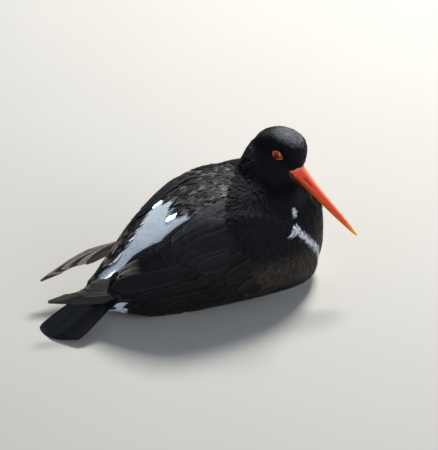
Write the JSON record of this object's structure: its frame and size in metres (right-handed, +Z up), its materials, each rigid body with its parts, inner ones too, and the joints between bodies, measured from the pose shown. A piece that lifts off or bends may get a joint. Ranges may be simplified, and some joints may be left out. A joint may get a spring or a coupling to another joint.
{
  "type": "oystercatcher",
  "caption": "Life-size model of an oystercatcher sitting on level ground with its wings folded, its head turned to its right and its long bill pointing down.",
  "frame": {"origin": "on the ground, under the middle of the bird's outline", "axes": "+X the way the body faces, +Y the bird's left side, +Z up"},
  "size_m": [0.287, 0.1175, 0.1494],
  "materials": {
    "feather_brown_black": "matt to silky brown-black contour feathers, white on the lower back, rump and belly",
    "feather_black": "silky black feathers of head, neck, breast and tail",
    "bill": "satin orange-red horn, yellow towards the tip",
    "eye": "wet, glossy, red iris round a dark pupil",
    "eye_ring": "bare orange-red skin",
    "leg_skin": "scaly pink skin with dark claws"
  },
  "bodies": {
    "root": {"trunk": "feather_brown_black", "neck": "feather_black", "head": "feather_black", "wing_right": "feather_brown_black", "wing_left": "feather_brown_black", "primaries_right": "feather_brown_black", "primaries_left": "feather_brown_black", "tail": "feather_black", "bill_upper": "bill", "bill_lower": "bill", "eye_right": "eye", "eye_left": "eye", "eye_ring_right": "eye_ring", "eye_ring_left": "eye_ring", "leg_right": "leg_skin", "leg_left": "leg_skin", "foot_right": "leg_skin", "foot_left": "leg_skin"}
  },
  "joints": []
}
